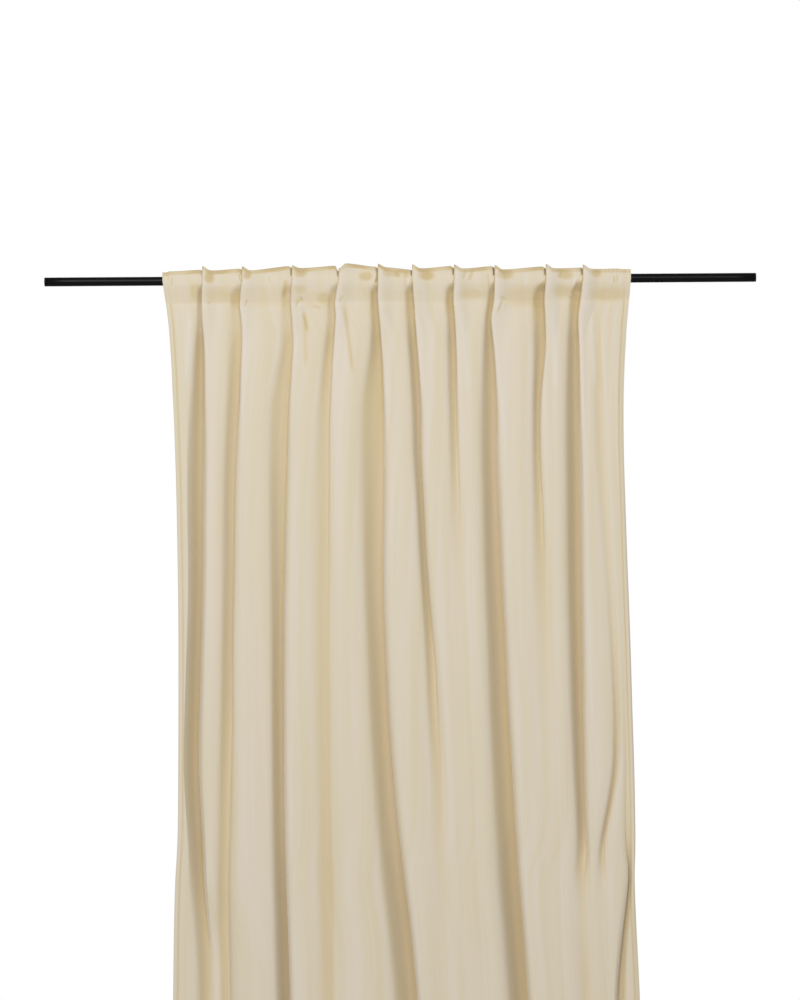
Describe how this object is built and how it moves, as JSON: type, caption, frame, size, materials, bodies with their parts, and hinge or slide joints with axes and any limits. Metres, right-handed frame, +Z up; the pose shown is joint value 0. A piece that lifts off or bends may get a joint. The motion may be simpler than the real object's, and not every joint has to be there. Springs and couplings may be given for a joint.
{
  "type": "velvet curtain on a curtain rod",
  "caption": "Beige velvet curtain panel pleated at its heading and hanging in soft folds from a plain black round rod by straps sewn behind the heading",
  "frame": {"origin": "on the rod's axis, halfway along the rod", "axes": "+X runs along the rod to the right as seen from the room, -Y faces the room, +Z is up"},
  "size_m": [1.6, 0.0702, 2.5056],
  "materials": {
    "velvet": "soft beige velvet with a short dense pile and a low sheen",
    "tape": "plain woven heading tape and straps",
    "rod_paint": "satin black powder coat",
    "rod_plug": "moulded black plastic, slightly matt"
  },
  "bodies": {
    "root": {"curtain_cloth": "velvet", "heading_tape": "tape", "tab_01": "tape", "tab_02": "tape", "tab_03": "tape", "tab_04": "tape", "tab_05": "tape", "tab_06": "tape", "tab_07": "tape", "tab_08": "tape", "tab_09": "tape", "tab_10": "tape", "tab_11": "tape", "rod_tube": "rod_paint", "rod_cap_left": "rod_plug", "rod_cap_right": "rod_plug"}
  },
  "joints": []
}
